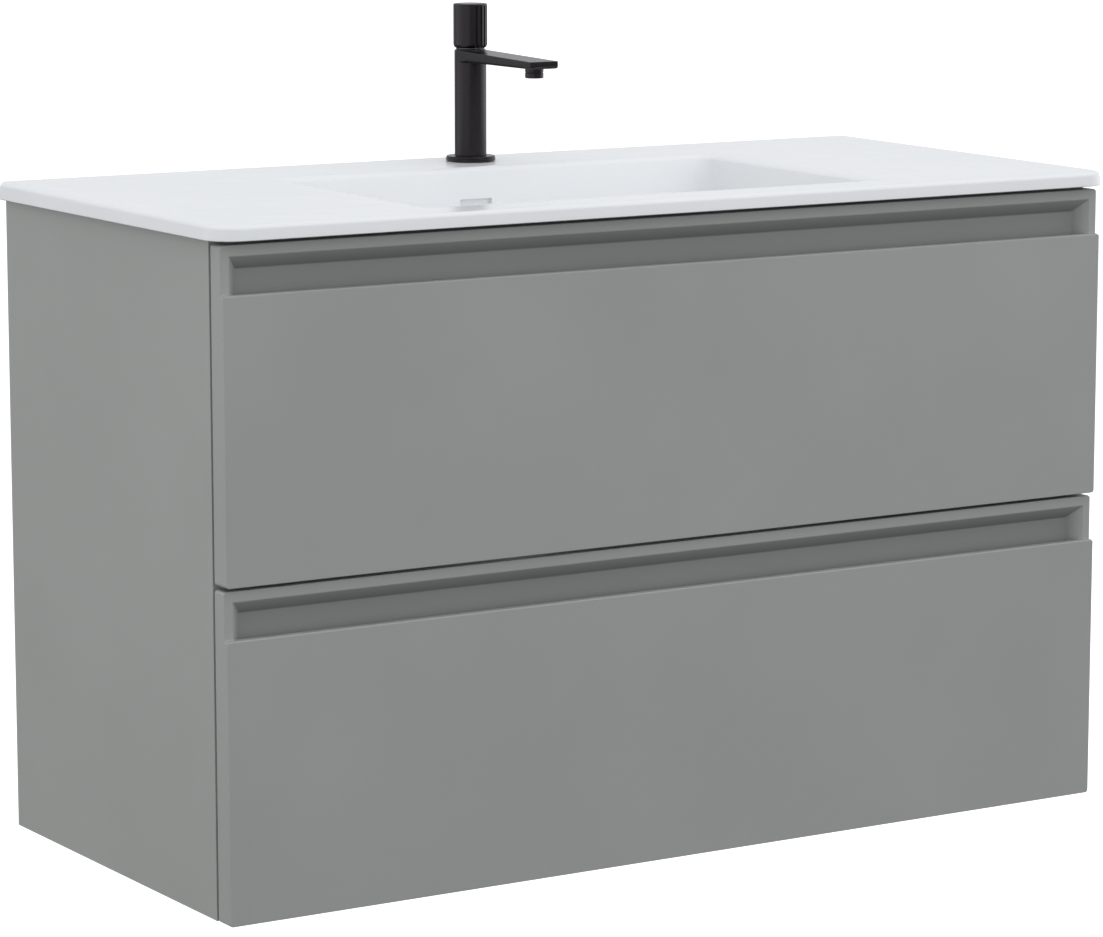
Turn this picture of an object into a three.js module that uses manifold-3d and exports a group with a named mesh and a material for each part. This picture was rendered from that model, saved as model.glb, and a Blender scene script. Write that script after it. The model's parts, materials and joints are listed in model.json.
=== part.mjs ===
// Wall-hung bathroom vanity: two-drawer cabinet, ceramic basin and single-hole mixer tap.
// Millimetres. x runs along the front, y from the fronts' face back to the wall, z up.
import * as THREE from 'three';
import { mergeVertices } from 'three/addons/utils/BufferGeometryUtils.js';
import Module from 'manifold-3d';

const wasm = await Module();
wasm.setup();

const gap = 0.3; // running gap between faces that touch

// Cabinet
const halfWidth = 500;
const cabinetHeight = 630;
const cabinetDepth = 458; // front face to the wall
const board = 16;
const innerHalf = halfWidth - board;
const fitHalf = innerHalf - gap;
const carcassFront = 27.5; // front edge of the carcass, behind the overlay fronts
const railDepth = cabinetDepth - board;
const hangRailBottom = 550;
const hangNotch = { width: 36, bottom: 580 };
const lowRailTop = 96;
const frontRail = { bottom: 596, sheet: 2.5, tab: 30 };
const hangRailMiddle = (hangRailBottom + cabinetHeight) / 2;

// Drawer fronts
const front = { height: 311.3, thickness: 24, lowerBottom: 0, upperBottom: 315 };
const pull = {
  drop: 45, // the proud face ends this far below the front's top edge
  setBack: 6,
  frame: 9,
  topStrip: 10.2,
  bevelRun: 12.5,
  backPlane: 19,
  lip: 9,
  groove: 13,
};

// Drawer boxes and runners
const box = {
  front: front.thickness + gap,
  back: 424,
  outerHalf: 479,
  wall: 16,
  bottomRise: 13,
  bottomSheet: 12,
  upperFoot: 340,
  upperWall: 160,
  lowerFoot: 36,
  lowerWall: 220,
};
const trapNotch = { halfWidth: 110, front: 120 };
const wallInner = box.outerHalf - box.wall;
const panelHalf = wallInner - gap;

// Basin
const basin = {
  halfWidth: 509,
  front: -7,
  bottom: 630.4,
  top: 648.5,
  frontCorner: 28,
  backCorner: 7,
  edge: 6,
  underside: 638,
  wall: 12,
  rimSide: 25,
  rimFront: 47,
  rimBack: 24,
};
const bowl = { halfWidth: 254, front: 44, back: 348, floor: 540, round: 12, corner: 8 };
const drain = { y: 215, hole: 23, bossRadius: 37, ribBottom: 514 };
const overflow = { x: -30, width: 36, height: 7.5, z: 611.8, channel: 7 };

// Tap
const tap = {
  y: 406,
  deckHole: 17.5,
  columnRadius: 16.4,
  columnTop: 762.5,
  flangeRadius: 25.6,
  flangeHeight: 5,
  handleRadius: 17.4,
  handleBottom: 764.5,
  handleTop: 809.5,
  spoutTip: 262,
  spoutTop: 762,
  spoutFall: 4,
  spoutRoot: 12,
  spoutEnd: 8,
  aeratorTop: 749.6,
  shankRadius: 14,
};

// Waste and trap
const waste = { flange: 32, outer: 22, inner: 19, bottom: 480, guide: 497 };
const trap = { pipe: 16, bore: 14.5, body: 30, top: 470, split: 395, bottom: 370, outletZ: 450 };

const finishes = {
  front: { color: 0x8b8e8a, roughness: 0.5, metalness: 0 },
  panel: { color: 0x90928e, roughness: 0.5, metalness: 0 },
  liner: { color: 0x8a8a86, roughness: 0.6, metalness: 0 },
  ceramic: { color: 0xf0f2f5, roughness: 0.08, metalness: 0 },
  black: { color: 0x1c1c1e, roughness: 0.45, metalness: 0.3 },
  steel: { color: 0xb4b6b8, roughness: 0.35, metalness: 1 },
  chrome: { color: 0xc8cacc, roughness: 0.12, metalness: 1 },
  pipe: { color: 0xe6e6e2, roughness: 0.4, metalness: 0 },
  rubber: { color: 0x2a2a2a, roughness: 0.8, metalness: 0 },
};
const materials = Object.fromEntries(
  Object.entries(finishes).map(([name, look]) => [name, new THREE.MeshStandardMaterial(look)]),
);

// Shapes

function outline(points) {
  return new THREE.Shape(points.map(([a, b]) => new THREE.Vector2(a, b)));
}

// Front corners (low y) may have a larger radius than the back ones
function roundedRectangle(x0, x1, y0, y1, radius, backRadius = radius) {
  const r = backRadius;
  const shape = new THREE.Shape();
  shape.moveTo(x0 + radius, y0);
  shape.lineTo(x1 - radius, y0);
  shape.absarc(x1 - radius, y0 + radius, radius, -Math.PI / 2, 0);
  shape.lineTo(x1, y1 - r);
  shape.absarc(x1 - r, y1 - r, r, 0, Math.PI / 2);
  shape.lineTo(x0 + r, y1);
  shape.absarc(x0 + r, y1 - r, r, Math.PI / 2, Math.PI);
  shape.lineTo(x0, y0 + radius);
  shape.absarc(x0 + radius, y0 + radius, radius, Math.PI, Math.PI * 1.5);
  return shape;
}

function block(x0, x1, y0, y1, z0, z1) {
  const geometry = new THREE.BoxGeometry(x1 - x0, y1 - y0, z1 - z0);
  return geometry.translate((x0 + x1) / 2, (y0 + y1) / 2, (z0 + z1) / 2);
}

function alongZ(shape, z0, z1) {
  const geometry = new THREE.ExtrudeGeometry(shape, { depth: z1 - z0, bevelEnabled: false, curveSegments: 6 });
  return geometry.translate(0, 0, z0);
}

const xUnit = new THREE.Vector3(1, 0, 0);
const yUnit = new THREE.Vector3(0, 1, 0);
const zUnit = new THREE.Vector3(0, 0, 1);

const facingSide = new THREE.Matrix4().makeBasis(yUnit, zUnit, xUnit);
const facingFront = new THREE.Matrix4().makeBasis(xUnit, zUnit, yUnit.clone().negate());

// Profile in (y, z), pulled along x
function alongX(points, x0, x1) {
  return alongZ(outline(points), x0, x1).applyMatrix4(facingSide);
}

// Profile in (x, z), pulled along y
function alongY(points, y0, y1) {
  return alongZ(outline(points), -y1, -y0).applyMatrix4(facingFront);
}

// Profile in (radius, z), turned about the z axis
function turned(points, segments = 32) {
  const profile = points.map(([r, z]) => new THREE.Vector2(r, z));
  return new THREE.LatheGeometry(profile, segments).rotateX(Math.PI / 2);
}

function tube(inner, outer, z0, z1, segments = 32) {
  return turned([[inner, z0], [outer, z0], [outer, z1], [inner, z1], [inner, z0]], segments);
}

function disc(radius, z0, z1, segments = 32) {
  return turned([[0, z0], [radius, z0], [radius, z1], [0, z1]], segments);
}

// Flat-sided nut with a round hole
function nut(hole, reach, corners, z0, z1) {
  const shape = new THREE.Shape(circlePoints(reach, corners));
  shape.holes.push(new THREE.Path(circlePoints(hole, 24)));
  return alongZ(shape, z0, z1);
}

function circlePoints(radius, count) {
  const points = [];
  for (let i = 0; i < count; i += 1) {
    const angle = (2 * Math.PI * i) / count;
    points.push(new THREE.Vector2(radius * Math.cos(angle), radius * Math.sin(angle)));
  }
  return points;
}

function at(geometry, x, y) {
  return geometry.translate(x, y, 0);
}

// Rounded tub: vertical walls and a rounded floor edge, open end at the top
function tub(x0, x1, y0, y1, floor, top, round, corner) {
  const shape = roundedRectangle(x0 + round, x1 - round, y0 + round, y1 - round, corner);
  const geometry = new THREE.ExtrudeGeometry(shape, {
    depth: top - floor - round,
    bevelThickness: round,
    bevelSize: round,
    bevelSegments: 4,
    curveSegments: 5,
  });
  const solid = toSolid(geometry.translate(0, 0, floor + round));
  const above = toSolid(block(x0 - 1, x1 + 1, y0 - 1, y1 + 1, top, top + round + 1));
  return solid.subtract(above);
}

// Solids

function toSolid(geometry) {
  const bare = geometry.clone();
  bare.deleteAttribute('normal');
  bare.deleteAttribute('uv');
  const merged = mergeVertices(bare, 1e-4);
  const mesh = new wasm.Mesh({
    numProp: 3,
    vertProperties: new Float32Array(merged.attributes.position.array),
    triVerts: new Uint32Array(merged.index.array),
  });
  return new wasm.Manifold(mesh);
}

function toGeometry(solid) {
  const mesh = solid.getMesh();
  const geometry = new THREE.BufferGeometry();
  geometry.setAttribute('position', new THREE.BufferAttribute(new Float32Array(mesh.vertProperties), 3));
  geometry.setIndex(new THREE.BufferAttribute(new Uint32Array(mesh.triVerts), 1));
  geometry.computeVertexNormals();
  return geometry;
}

function cut(geometry, ...tools) {
  const solid = tools.reduce((rest, tool) => rest.subtract(toSolid(tool)), toSolid(geometry));
  return toGeometry(solid);
}

const model = new THREE.Group();
const cabinet = new THREE.Group();
cabinet.position.set(0, -cabinetDepth, -hangRailMiddle); // origin on the wall, mid hanging rail
model.add(cabinet);

function add(name, finish, geometry) {
  const mesh = new THREE.Mesh(geometry, materials[finish]);
  mesh.name = name;
  cabinet.add(mesh);
}

const sides = [['left', -1], ['right', 1]];

function span(side, a, b) {
  return side < 0 ? [-b, -a] : [a, b];
}

// Profile drawn for the right-hand side, mirrored for the left
function sideProfile(side, points) {
  return side > 0 ? points : points.map(([x, z]) => [-x, z]).reverse();
}

// Carcass

function addCarcass() {
  for (const [word, side] of sides) {
    const [x0, x1] = span(side, innerHalf, halfWidth);
    add(`${word}_side_panel`, 'panel', block(x0, x1, carcassFront, cabinetDepth, 0, cabinetHeight));
  }
  add('bottom_panel', 'panel', block(-fitHalf, fitHalf, carcassFront, cabinetDepth, 0, board));
  add('top_front_rail', 'steel', frontRailSheet());
  add('top_rear_rail', 'liner', hangingRail());
  const lowRail = block(-fitHalf, fitHalf, railDepth, cabinetDepth, board + gap, lowRailTop);
  add('lower_rear_rail', 'liner', lowRail);
}

// Steel strip across the front with both ends folded back along the side panels
function frontRailSheet() {
  const y0 = carcassFront;
  const y1 = y0 + frontRail.sheet;
  const y2 = y0 + frontRail.tab;
  const inner = fitHalf - frontRail.sheet;
  const plan = [
    [-fitHalf, y0], [fitHalf, y0], [fitHalf, y2], [inner, y2],
    [inner, y1], [-inner, y1], [-inner, y2], [-fitHalf, y2],
  ];
  return alongZ(outline(plan), frontRail.bottom, cabinetHeight);
}

// Board between the sides, notched at both top corners for the hanging hooks
function hangingRail() {
  const notch = innerHalf - hangNotch.width;
  const face = [
    [-fitHalf, hangRailBottom], [fitHalf, hangRailBottom], [fitHalf, hangNotch.bottom],
    [notch, hangNotch.bottom], [notch, cabinetHeight], [-notch, cabinetHeight],
    [-notch, hangNotch.bottom], [-fitHalf, hangNotch.bottom],
  ];
  return alongY(face, railDepth, cabinetDepth);
}

// Hanging hooks inside the cabinet, dropped over the lips of two plates screwed to the wall
function addHangers() {
  const hook = [
    [412, 586], [450, 586], [450, 622.3], [455.3, 622.3], [455.3, 616], [457, 616], [457, 626], [412, 626],
  ];
  const plate = [
    [456, 583], [458, 583], [458, 612.5], [454.3, 612.5],
    [454.3, 621.5], [452.3, 621.5], [452.3, 610.5], [456, 610.5],
  ];
  for (const [word, side] of sides) {
    add(`hanger_${word}`, 'steel', alongX(hook, ...span(side, 452, fitHalf)));
    add(`wall_plate_${word}`, 'steel', alongX(plate, ...span(side, 454, 482)));
  }
}

// Basin

function addBasin() {
  add('basin', 'ceramic', toGeometry(basinSolid()));
}

function basinSolid() {
  const b = basin;
  const slabShape = roundedRectangle(
    -b.halfWidth + b.edge, b.halfWidth - b.edge, b.front + b.edge, cabinetDepth - b.edge,
    b.frontCorner - b.edge, b.backCorner - b.edge,
  );
  const slabGeometry = new THREE.ExtrudeGeometry(slabShape, {
    depth: b.top - b.bottom,
    bevelThickness: b.edge,
    bevelSize: b.edge,
    bevelSegments: 3,
    curveSegments: 4,
  });
  const slab = toSolid(slabGeometry.translate(0, 0, b.bottom - b.edge));
  const below = toSolid(block(-600, 600, -100, 600, b.bottom - 20, b.bottom));
  const pocket = toSolid(block(
    -b.halfWidth + b.rimSide, b.halfWidth - b.rimSide,
    b.front + b.rimFront, cabinetDepth - b.rimBack, b.bottom - 20, b.underside,
  ));
  return slab
    .subtract(below)
    .subtract(pocket)
    .add(bowlShell())
    .subtract(bowlHollow())
    .subtract(overflowChannel())
    .subtract(toSolid(at(disc(drain.hole, drain.ribBottom - 10, bowl.floor + 10), 0, drain.y)))
    .subtract(toSolid(at(disc(tap.deckHole, b.underside - 10, b.top + 10), 0, tap.y)));
}

function bowlHollow() {
  const { halfWidth: w, front: y0, back: y1, floor, round, corner } = bowl;
  return tub(-w, w, y0, y1, floor, basin.top + 20, round, corner);
}

// Outside of the bowl, with the cast rib that holds the overflow channel and the drain boss
function bowlShell() {
  const t = basin.wall;
  const w = bowl.halfWidth + t;
  const shell = tub(
    -w, w, bowl.front - t, bowl.back + t, bowl.floor - t, basin.underside + 4, bowl.round, bowl.corner + t,
  );
  const ribBack = bowl.back + 22;
  const ribTop = overflow.z + 11;
  const reach = overflow.width / 2 + 6;
  const x0 = overflow.x - reach;
  const x1 = overflow.x + reach;
  const upright = toSolid(block(x0, x1, bowl.back + 4, ribBack, drain.ribBottom, ribTop));
  const foot = toSolid(block(x0, x1, drain.y, ribBack, drain.ribBottom, bowl.floor - 4));
  const boss = toSolid(at(disc(drain.bossRadius, drain.ribBottom, bowl.floor - 4), 0, drain.y));
  return shell.add(upright).add(foot).add(boss);
}

// Slot in the back wall, down behind the wall and forward under the floor to the drain
function overflowChannel() {
  const reach = overflow.width / 2 + gap;
  const x0 = overflow.x - reach;
  const x1 = overflow.x + reach;
  const slotLow = overflow.z - overflow.height / 2 - gap;
  const slotHigh = overflow.z + overflow.height / 2 + gap;
  const y0 = bowl.back + 9;
  const y1 = y0 + overflow.channel;
  const z0 = drain.ribBottom + 6;
  const z1 = z0 + overflow.channel;
  const slot = toSolid(block(x0, x1, bowl.back - 6, y1, slotLow, slotHigh));
  const fall = toSolid(block(x0, x1, y0, y1, z0, slotHigh));
  const run = toSolid(block(x0, x1, drain.y, y1, z0, z1));
  return slot.add(fall).add(run);
}

// Waste and bottle trap

function ring(inner, outer, z0, z1, sidesCount) {
  return at(tube(inner, outer, z0, z1, sidesCount), 0, drain.y);
}

function addWaste() {
  add('drain_waste', 'chrome', toGeometry(wasteBody()));
  const seat = drain.ribBottom - gap;
  add('waste_gasket', 'rubber', ring(waste.outer + gap, 34, seat - 3, seat, 24));
  add('waste_nut', 'pipe', at(nut(waste.outer + gap, 33, 12, seat - 12, seat - 3 - gap), 0, drain.y));
  add('drain_plug', 'chrome', drainPlug());
}

// Flanged tube with overflow windows and a bar across that guides the plug's stem
function wasteBody() {
  const seat = bowl.floor + gap;
  const profile = [
    [waste.inner, waste.bottom], [waste.outer, waste.bottom], [waste.outer, seat],
    [waste.flange, seat], [waste.flange - 1, seat + 2.5], [waste.inner, seat + 1.5],
    [waste.inner, waste.bottom],
  ];
  const bar = block(-waste.inner - 1, waste.inner + 1, -5, 5, waste.guide, waste.guide + 6);
  const window = block(-7, 7, -40, 40, drain.ribBottom + 6, drain.ribBottom + 13);
  return toSolid(turned(profile, 28))
    .add(toSolid(bar))
    .subtract(toSolid(disc(4.4, waste.guide - 5, waste.guide + 10, 16)))
    .subtract(toSolid(window))
    .translate([0, drain.y, 0]);
}

function drainPlug() {
  const seat = bowl.floor + 3.1;
  const profile = [
    [0, waste.guide - 10], [4, waste.guide - 10], [4, seat - 4], [15, seat - 2], [16, seat],
    [30, seat + gap], [31, seat + 2], [28, seat + 5], [0, seat + 7],
  ];
  return at(turned(profile, 28), 0, drain.y);
}

function addTrap() {
  const { pipe, bore, body, top, split, bottom, outletZ } = trap;
  add('trap_tailpipe', 'pipe', ring(bore, pipe, bottom + 22, waste.bottom + 12, 24));
  add('trap_body', 'pipe', toGeometry(trapBody()));
  const cup = [
    [0, bottom], [body - 6, bottom], [body + 1, bottom + 6], [body + 1, split - gap],
    [body - 2.5, split - gap], [body - 2.5, bottom + 8], [0, bottom + 3],
  ];
  add('trap_cup', 'pipe', at(turned(cup, 24), 0, drain.y));
  const start = drain.y + body + 1;
  add('trap_outlet_nut', 'pipe', outletRing(pipe + gap, pipe + 6, start, start + 16, 24));
  add('trap_outlet_pipe', 'pipe', outletRing(bore, pipe, drain.y + body - 2, cabinetDepth - gap, 24));
  add('wall_rosette', 'pipe', outletRing(pipe + gap, 34, cabinetDepth - 9, cabinetDepth, 32));

  // Tube along y at the outlet's height
  function outletRing(inner, outer, y0, y1, segments) {
    const profile = [[inner, y0], [outer, y0], [outer, y1], [inner, y1], [inner, y0]];
    const points = profile.map(([r, y]) => new THREE.Vector2(r, y));
    return new THREE.LatheGeometry(points, segments).translate(0, 0, outletZ);
  }
}

// Bottle, open below for the cup, with a hole on top for the tailpipe and one behind for the outlet
function trapBody() {
  const { pipe, body, top, split, outletZ } = trap;
  const profile = [
    [pipe + gap, top], [pipe + gap, top - 4], [body - 3, top - 8], [body - 3, split],
    [body, split], [body, top - 4], [body - 6, top], [pipe + gap, top],
  ];
  const hole = new THREE.CylinderGeometry(pipe + gap, pipe + gap, 40, 24).translate(0, body, outletZ);
  return toSolid(turned(profile, 24))
    .subtract(toSolid(hole))
    .translate([0, drain.y, 0]);
}

// Tap

function atTap(geometry) {
  return at(geometry, 0, tap.y);
}

function addTap() {
  const deck = basin.top + gap;
  const r = tap.columnRadius;
  const flange = [
    [r + gap, deck], [tap.flangeRadius, deck], [tap.flangeRadius, deck + tap.flangeHeight - 1],
    [tap.flangeRadius - 1, deck + tap.flangeHeight], [r + gap, deck + tap.flangeHeight], [r + gap, deck],
  ];
  add('tap_flange', 'black', atTap(turned(flange, 36)));
  add('tap_body', 'black', tapBody(deck));
  add('tap_aerator', 'black', at(disc(9.3, tap.aeratorTop - 9, tap.aeratorTop, 24), 0, tap.spoutTip + 19));
  add('tap_cartridge', 'steel', atTap(turned([
    [0, tap.columnTop + gap], [14, tap.columnTop + gap], [14, tap.handleBottom - gap],
    [8, tap.handleBottom - gap], [8, 788], [0, 788],
  ], 24)));
  add('tap_handle', 'black', tapHandle());
  add('tap_shank', 'steel', atTap(disc(tap.shankRadius, 590, basin.top, 24)));
  add('tap_washer', 'rubber', atTap(tube(tap.shankRadius + gap, 22, basin.underside - 4, basin.underside - gap, 24)));
  add('tap_lock_nut', 'steel', atTap(nut(tap.shankRadius + gap, 21, 6, basin.underside - 17, basin.underside - 5)));
}

// Column and flat spout, cast in one piece
function tapBody(deck) {
  const r = tap.columnRadius;
  const tipTop = tap.spoutTop - tap.spoutFall;
  const column = disc(r, deck, tap.columnTop, 36);
  const spout = alongX([
    [tap.spoutTip - tap.y, tipTop], [tap.spoutTip - tap.y, tipTop - tap.spoutEnd],
    [-r, tap.spoutTop - tap.spoutRoot], [-2, tap.spoutTop - tap.spoutRoot - 8], [-2, tap.spoutTop],
  ], -r, r);
  return atTap(toGeometry(toSolid(column).add(toSolid(spout))));
}

// Grip with a fan of upright grooves on one side
function tapHandle() {
  const r = tap.handleRadius;
  const grip = turned([
    [8.3, tap.handleBottom], [r - 1.5, tap.handleBottom], [r, tap.handleBottom + 3], [r, tap.handleTop - 1],
    [r - 1, tap.handleTop], [0, tap.handleTop], [0, 790], [8.3, 790], [8.3, tap.handleBottom],
  ], 40);
  const grooves = [];
  for (let i = 0; i < 7; i += 1) {
    const angle = THREE.MathUtils.degToRad(-100 + 19 * i);
    const groove = block(-0.8, 0.8, -0.7, 0.7, tap.handleBottom + 5, tap.handleTop + 1);
    grooves.push(groove.translate(r, 0, 0).rotateZ(angle));
  }
  return atTap(cut(grip, ...grooves));
}

// Drawers

// Front board: the proud face ends in a lip; above it is a set-back frame round a finger pocket
function drawerFront(bottom) {
  const top = bottom + front.height;
  const lipTop = top - pull.drop;
  const innerX = halfWidth - pull.frame - pull.bevelRun;
  const innerZ = top - pull.topStrip - pull.bevelRun;
  const slab = block(-halfWidth, halfWidth, 0, front.thickness, bottom, top);
  const setBack = block(-halfWidth - 1, halfWidth + 1, -1, pull.setBack, lipTop, top + 1);
  const groove = block(-innerX, innerX, pull.lip, pull.backPlane, lipTop - pull.groove, lipTop + 5);
  const belowLip = block(-halfWidth, halfWidth, -60, 60, lipTop - 90, lipTop);
  const pocket = toSolid(fingerPocket(innerX, lipTop - 60, innerZ)).subtract(toSolid(belowLip));
  const solid = toSolid(slab).subtract(toSolid(setBack)).subtract(pocket).subtract(toSolid(groove));
  return toGeometry(solid);
}

// Tapered block whose sides slope out from the pocket's back plane to its mouth
function fingerPocket(innerX, low, high) {
  const mouth = outline([[-innerX, low], [innerX, low], [innerX, high], [-innerX, high]]);
  const pocket = new THREE.ExtrudeGeometry(mouth, {
    depth: 20,
    bevelThickness: pull.backPlane - pull.setBack,
    bevelSize: pull.bevelRun,
    bevelSegments: 1,
  });
  return pocket.applyMatrix4(facingFront).translate(0, pull.setBack, 0);
}

function addDrawerWalls(word, foot, wallHeight) {
  for (const [sideWord, side] of sides) {
    const [x0, x1] = span(side, wallInner, box.outerHalf);
    add(`${word}_drawer_${sideWord}_wall`, 'liner', block(x0, x1, box.front, box.back, foot, foot + wallHeight));
  }
}

function addUpperDrawer() {
  const foot = box.upperFoot;
  const top = foot + box.upperWall;
  const floor = foot + box.bottomRise;
  const deck = floor + box.bottomSheet;
  const stand = deck + gap;
  const n = trapNotch.halfWidth;
  add('upper_drawer_front', 'front', drawerFront(front.upperBottom));
  addDrawerWalls('upper', foot, box.upperWall);
  const plan = [
    [-panelHalf, box.front], [panelHalf, box.front], [panelHalf, box.back], [n, box.back],
    [n, trapNotch.front], [-n, trapNotch.front], [-n, box.back], [-panelHalf, box.back],
  ];
  add('upper_drawer_bottom', 'liner', alongZ(outline(plan), floor, deck));
  const sleeve = n + box.wall;
  for (const [word, side] of sides) {
    const [b0, b1] = span(side, sleeve + gap, panelHalf);
    add(`upper_drawer_back_${word}`, 'liner', block(b0, b1, box.back - box.wall, box.back, stand, top));
    const [c0, c1] = span(side, n, sleeve);
    add(`trap_cutout_${word}_wall`, 'liner', block(c0, c1, trapNotch.front, box.back, stand, top));
  }
  const y1 = trapNotch.front - gap;
  add('trap_cutout_front_wall', 'liner', block(-sleeve, sleeve, y1 - box.wall, y1, stand, top));
}

function addLowerDrawer() {
  const foot = box.lowerFoot;
  const top = foot + box.lowerWall;
  const floor = foot + box.bottomRise;
  const deck = floor + box.bottomSheet;
  add('lower_drawer_front', 'front', drawerFront(front.lowerBottom));
  addDrawerWalls('lower', foot, box.lowerWall);
  add('lower_drawer_bottom', 'liner', block(-panelHalf, panelHalf, box.front, box.back, floor, deck));
  const y0 = box.back - box.wall;
  add('lower_drawer_back', 'liner', block(-panelHalf, panelHalf, y0, box.back, deck + gap, top));
}

// Three nested steel channels under each drawer edge: on the cabinet, between, and on the drawer
function addRunners(word, foot) {
  const onCabinet = [
    [483.7, 10], [482.2, 10], [482.2, -16.5], [460.5, -16.5], [460.5, -4], [459, -4],
    [459, -16.5], [441.5, -16.5], [441.5, -4], [440, -4], [440, -18], [483.7, -18],
  ];
  const between = [
    [443, -14], [457.5, -14], [457.5, 8], [456, 8], [456, -12.5], [444.5, -12.5], [444.5, 8], [443, 8],
  ];
  const onDrawer = [
    [441, -2], [442.5, -2], [442.5, 11.2], [458, 11.2], [458, -2], [459.5, -2], [459.5, 12.7], [441, 12.7],
  ];
  for (const [sideWord, side] of sides) {
    const place = (profile, y0, y1) => (
      alongY(sideProfile(side, profile.map(([x, z]) => [x, z + foot])), y0, y1)
    );
    add(`${word}_runner_${sideWord}_cabinet`, 'steel', place(onCabinet, 34, 434));
    add(`${word}_runner_${sideWord}_middle`, 'steel', place(between, 38, 424));
    add(`${word}_runner_${sideWord}_drawer`, 'steel', place(onDrawer, 26, box.back));
  }
}

addCarcass();
addHangers();
addBasin();
addWaste();
addTrap();
addTap();
addUpperDrawer();
addLowerDrawer();
addRunners('upper', box.upperFoot);
addRunners('lower', box.lowerFoot);

export default model;
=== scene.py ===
# Looks for the wall-hung bathroom vanity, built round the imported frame.
# Metres; +Z up, the fronts face -Y and the wall is at y = 0.
import json
import math
import bmesh
import bpy
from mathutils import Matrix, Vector


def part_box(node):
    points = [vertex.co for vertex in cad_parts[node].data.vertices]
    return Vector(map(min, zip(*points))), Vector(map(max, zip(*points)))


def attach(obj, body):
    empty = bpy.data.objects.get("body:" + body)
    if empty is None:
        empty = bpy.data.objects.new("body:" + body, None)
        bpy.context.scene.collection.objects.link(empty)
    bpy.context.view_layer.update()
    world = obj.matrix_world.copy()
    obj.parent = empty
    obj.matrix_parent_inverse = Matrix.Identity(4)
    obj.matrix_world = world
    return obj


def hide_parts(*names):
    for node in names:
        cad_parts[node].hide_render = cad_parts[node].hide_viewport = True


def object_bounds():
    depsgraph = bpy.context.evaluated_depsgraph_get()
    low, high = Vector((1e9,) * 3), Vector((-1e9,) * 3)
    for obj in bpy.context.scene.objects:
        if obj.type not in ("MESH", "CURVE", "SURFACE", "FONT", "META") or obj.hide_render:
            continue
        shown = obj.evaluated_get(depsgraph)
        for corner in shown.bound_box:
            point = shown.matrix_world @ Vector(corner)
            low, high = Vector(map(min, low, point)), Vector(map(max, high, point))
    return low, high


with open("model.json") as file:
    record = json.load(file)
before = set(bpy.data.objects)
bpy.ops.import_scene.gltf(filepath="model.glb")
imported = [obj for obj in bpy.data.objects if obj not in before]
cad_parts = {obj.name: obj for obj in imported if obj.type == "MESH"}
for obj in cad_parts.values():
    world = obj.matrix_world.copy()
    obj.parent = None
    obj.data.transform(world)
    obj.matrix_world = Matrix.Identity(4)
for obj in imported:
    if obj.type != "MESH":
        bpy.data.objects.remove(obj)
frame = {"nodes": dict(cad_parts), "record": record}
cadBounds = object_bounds()
mm = 0.001


# Shared mesh helpers

def scaled(sizes):
    # millimetres in the dictionaries, metres in the meshes
    return {key: value * mm for key, value in sizes.items()}


def everything(bm):
    return bm.verts[:] + bm.edges[:] + bm.faces[:]


def addBox(bm, low, high):
    low, high = Vector(low), Vector(high)
    made = bmesh.ops.create_cube(bm, size=1)["verts"]
    bmesh.ops.scale(bm, vec=high - low, verts=made)
    bmesh.ops.translate(bm, vec=(low + high) / 2, verts=made)
    return made


def sharpEdges(bm, degrees=30):
    bm.normal_update()
    limit = math.radians(degrees)
    return [e for e in bm.edges if len(e.link_faces) == 2 and e.calc_face_angle(0) > limit]


def easeEdges(bm, edges, width, segments=3):
    bmesh.ops.bevel(bm, geom=edges, offset=width, offset_type="OFFSET", segments=segments,
                    profile=0.5, affect="EDGES", clamp_overlap=False, material=-1)


def facing(bm, direction, test):
    # faces that look along a direction and pass a test on their centre
    bm.normal_update()
    way = Vector(direction)
    return [f for f in bm.faces if f.normal.dot(way) > 0.99 and test(f.calc_center_median())]


def splitFaces(bm, faces, point, normal):
    parts = set(faces)
    for face in faces:
        parts.update(face.edges)
        parts.update(face.verts)
    bmesh.ops.bisect_plane(bm, geom=list(parts), plane_co=point, plane_no=normal, dist=1e-6)


def pushFaces(bm, faces, vector):
    made = bmesh.ops.extrude_face_region(bm, geom=faces)["geom"]
    verts = [v for v in made if isinstance(v, bmesh.types.BMVert)]
    bmesh.ops.translate(bm, vec=vector, verts=verts)
    bmesh.ops.delete(bm, geom=faces, context="FACES")
    return verts


def turnProfile(bm, points, centre, axis=(0, 0, 1), steps=48):
    # points are (radius, height) in metres, spun once round the axis through the centre
    centre, axis = Vector(centre), Vector(axis)
    out = axis.orthogonal().normalized()
    verts = [bm.verts.new(centre + out * r + axis * h) for r, h in points]
    edges = [bm.edges.new(pair) for pair in zip(verts, verts[1:])]
    bmesh.ops.spin(bm, geom=verts + edges, cent=centre, axis=axis, dvec=(0, 0, 0),
                   angle=math.tau, steps=steps, use_merge=True)
    bmesh.ops.remove_doubles(bm, verts=bm.verts[:], dist=1e-6)


def startRing(bm, steps=8):
    # a closed loop with four rounded corners; every point keeps its corner and its angle on the arc
    mark = bm.verts.layers.float_vector.new("corner")
    ring = bmesh.ops.create_circle(bm, cap_ends=False, segments=4 * (steps + 1), radius=1)["verts"]
    for i, v in enumerate(ring):
        corner, step = divmod(i, steps + 1)
        signX, signY = ((1, 1), (-1, 1), (-1, -1), (1, -1))[corner]
        v[mark] = (signX, signY, math.radians(90 * corner + 90 * step / steps))
    return ring


def setRing(bm, ring, low, high, z, frontRadius, backRadius):
    mark = bm.verts.layers.float_vector["corner"]
    for v in ring:
        signX, signY, angle = v[mark]
        radius = backRadius if signY > 0 else frontRadius
        cornerX = high[0] - radius if signX > 0 else low[0] + radius
        cornerY = high[1] - radius if signY > 0 else low[1] + radius
        v.co = (cornerX + radius * math.cos(angle), cornerY + radius * math.sin(angle), z)


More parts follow.
